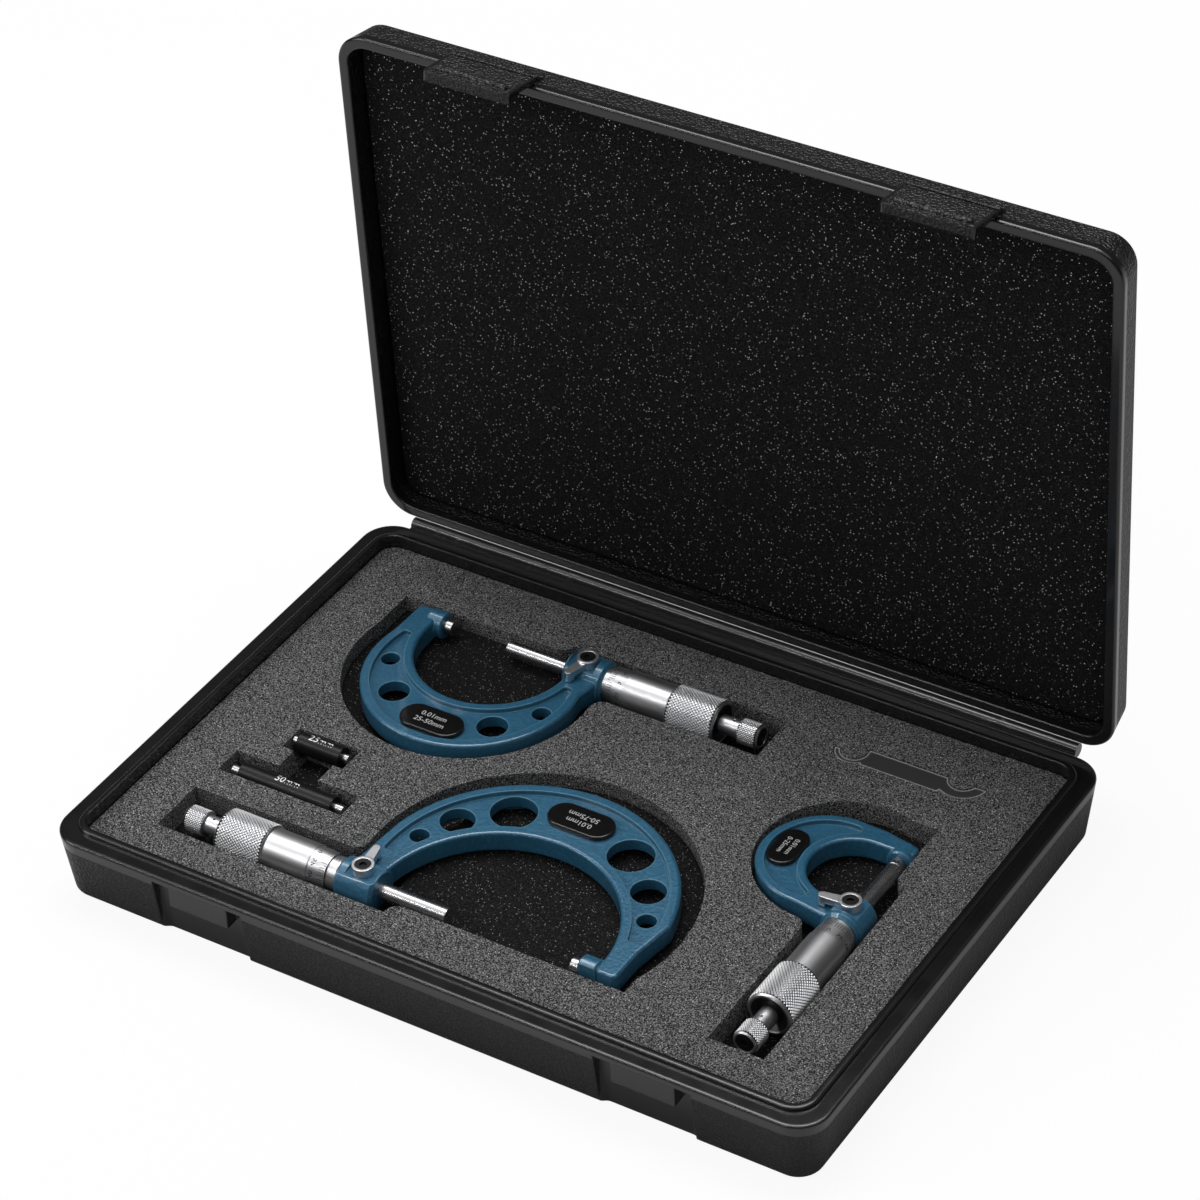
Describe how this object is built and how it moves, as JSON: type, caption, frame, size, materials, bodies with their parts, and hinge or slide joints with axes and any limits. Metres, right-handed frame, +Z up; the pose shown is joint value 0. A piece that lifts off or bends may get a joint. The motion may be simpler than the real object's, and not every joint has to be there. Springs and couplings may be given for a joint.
{
  "type": "micrometer case",
  "caption": "Hinged plastic case with foam pockets for outside micrometers, setting standards and a pin spanner, closed by snap latches.",
  "frame": {"origin": "centre of the case's flat bottom", "axes": "+X along the hinge to the right of someone facing the latches, +Y from the latches to the hinge, +Z up"},
  "size_m": [0.3198, 0.2393, 0.2568],
  "materials": {
    "case_black": "matte",
    "base_foam": "matte",
    "lid_foam": "matte",
    "blue_enamel": "gloss",
    "satin_chrome": "satin",
    "polished_steel": "polished",
    "lever_chrome": "satin",
    "label_black": "gloss",
    "screw_black": "satin",
    "grip_black": "satin",
    "spanner_black": "satin"
  },
  "bodies": {
    "base": {"base_shell": "case_black", "base_foam": "base_foam", "living_hinge": "case_black"},
    "lid": {"lid_shell": "case_black", "lid_foam": "lid_foam"},
    "latch_left": {"latch_left": "case_black"},
    "latch_right": {"latch_right": "case_black"},
    "micrometer_0_25": {"frame_0_25": "blue_enamel", "anvil_0_25": "polished_steel", "label_plate_0_25": "label_black", "sleeve_0_25": "satin_chrome", "lock_screw_0_25": "screw_black"},
    "spindle_0_25": {"spindle_0_25": "polished_steel"},
    "thimble_0_25": {"thimble_0_25": "satin_chrome", "ratchet_screw_0_25": "screw_black"},
    "ratchet_0_25": {"ratchet_0_25": "satin_chrome"},
    "lock_lever_0_25": {"lock_lever_0_25": "lever_chrome"},
    "micrometer_25_50": {"frame_25_50": "blue_enamel", "anvil_25_50": "polished_steel", "label_plate_25_50": "label_black", "sleeve_25_50": "satin_chrome", "lock_screw_25_50": "screw_black"},
    "spindle_25_50": {"spindle_25_50": "polished_steel"},
    "thimble_25_50": {"thimble_25_50": "satin_chrome", "ratchet_screw_25_50": "screw_black"},
    "ratchet_25_50": {"ratchet_25_50": "satin_chrome"},
    "lock_lever_25_50": {"lock_lever_25_50": "lever_chrome"},
    "micrometer_50_75": {"frame_50_75": "blue_enamel", "anvil_50_75": "polished_steel", "label_plate_50_75": "label_black", "sleeve_50_75": "satin_chrome", "lock_screw_50_75": "screw_black"},
    "spindle_50_75": {"spindle_50_75": "polished_steel"},
    "thimble_50_75": {"thimble_50_75": "satin_chrome", "ratchet_screw_50_75": "screw_black"},
    "ratchet_50_75": {"ratchet_50_75": "satin_chrome"},
    "lock_lever_50_75": {"lock_lever_50_75": "lever_chrome"},
    "standard_25": {"standard_25_rod": "polished_steel", "standard_25_sleeve": "grip_black"},
    "standard_50": {"standard_50_rod": "polished_steel", "standard_50_sleeve": "grip_black"},
    "spanner": {"spanner": "spanner_black"}
  },
  "joints": [
    {"name": "lid_hinge", "type": "hinge", "parent": "base", "child": "lid", "pos_m": [0, 0.113, 0.0281], "axis": [-1, 0, 0], "range_deg": [-88.4, 91.6]},
    {"name": "latch_left_hinge", "type": "hinge", "parent": "lid", "child": "latch_left", "pos_m": [-0.093, 0.10904, 0.25243], "axis": [-1, 0, 0], "range_deg": [-9.5, 85]},
    {"name": "latch_right_hinge", "type": "hinge", "parent": "lid", "child": "latch_right", "pos_m": [0.093, 0.10904, 0.25243], "axis": [-1, 0, 0], "range_deg": [-9.5, 85]},
    {"name": "lift_0_25", "type": "slide", "parent": "base", "child": "micrometer_0_25", "axis": [0, 0, 1], "range_m": [0, 0.045]},
    {"name": "spindle_slide_0_25", "type": "slide", "parent": "micrometer_0_25", "child": "spindle_0_25", "axis": [0, -0.9997, 0.0262], "range_m": [0, 0.0025]},
    {"name": "thimble_turn_0_25", "type": "hinge", "parent": "spindle_0_25", "child": "thimble_0_25", "pos_m": [0.1154, 0.0171, 0.0218], "axis": [0, -0.9997, 0.0262], "range_deg": [-1, 1801.5]},
    {"name": "ratchet_turn_0_25", "type": "hinge", "parent": "thimble_0_25", "child": "ratchet_0_25", "pos_m": [0.1154, 0.0171, 0.0218], "axis": [0, -0.9997, 0.0262], "continuous": true},
    {"name": "lock_lever_turn_0_25", "type": "hinge", "parent": "micrometer_0_25", "child": "lock_lever_0_25", "pos_m": [0.1154, -0.00373, 0.02865], "axis": [0, 0.0262, 0.9997], "range_deg": [-40, 13]},
    {"name": "lift_25_50", "type": "slide", "parent": "base", "child": "micrometer_25_50", "axis": [0, 0, 1], "range_m": [0, 0.045]},
    {"name": "spindle_slide_25_50", "type": "slide", "parent": "micrometer_25_50", "child": "spindle_25_50", "axis": [1, 0, 0], "range_m": [0, 0.0025]},
    {"name": "thimble_turn_25_50", "type": "hinge", "parent": "spindle_25_50", "child": "thimble_25_50", "pos_m": [-0.0738, 0.0682, 0.0237], "axis": [1, 0, 0], "range_deg": [-1, 1801.5]},
    {"name": "ratchet_turn_25_50", "type": "hinge", "parent": "thimble_25_50", "child": "ratchet_25_50", "pos_m": [-0.0738, 0.0682, 0.0237], "axis": [1, 0, 0], "continuous": true},
    {"name": "lock_lever_turn_25_50", "type": "hinge", "parent": "micrometer_25_50", "child": "lock_lever_25_50", "pos_m": [-0.0375, 0.0682, 0.03], "axis": [0, 0, 1], "range_deg": [-20, 32]},
    {"name": "lift_50_75", "type": "slide", "parent": "base", "child": "micrometer_50_75", "axis": [0, 0, 1], "range_m": [0, 0.045]},
    {"name": "spindle_slide_50_75", "type": "slide", "parent": "micrometer_50_75", "child": "spindle_50_75", "axis": [-1, 0, 0], "range_m": [-0.002, 0.007]},
    {"name": "thimble_turn_50_75", "type": "hinge", "parent": "spindle_50_75", "child": "thimble_50_75", "pos_m": [0.007, -0.0726, 0.024], "axis": [-1, 0, 0], "range_deg": [-1441, 5041.5]},
    {"name": "ratchet_turn_50_75", "type": "hinge", "parent": "thimble_50_75", "child": "ratchet_50_75", "pos_m": [0.007, -0.0726, 0.024], "axis": [-1, 0, 0], "continuous": true},
    {"name": "lock_lever_turn_50_75", "type": "hinge", "parent": "micrometer_50_75", "child": "lock_lever_50_75", "pos_m": [-0.045, -0.0726, 0.0303], "axis": [0, 0, 1], "range_deg": [-40, 13]},
    {"name": "lift_standard_25", "type": "slide", "parent": "base", "child": "standard_25", "axis": [0, 0, 1], "range_m": [0, 0.045]},
    {"name": "lift_standard_50", "type": "slide", "parent": "base", "child": "standard_50", "axis": [0, 0, 1], "range_m": [0, 0.045]},
    {"name": "lift_spanner", "type": "slide", "parent": "base", "child": "spanner", "axis": [0, 0, 1], "range_m": [0, 0.045]}
  ],
  "couplings": [
    {"joint": "thimble_turn_0_25", "follows": "spindle_slide_0_25", "rad_per_m": 12566},
    {"joint": "thimble_turn_25_50", "follows": "spindle_slide_25_50", "rad_per_m": 12566},
    {"joint": "thimble_turn_50_75", "follows": "spindle_slide_50_75", "rad_per_m": 12566}
  ]
}
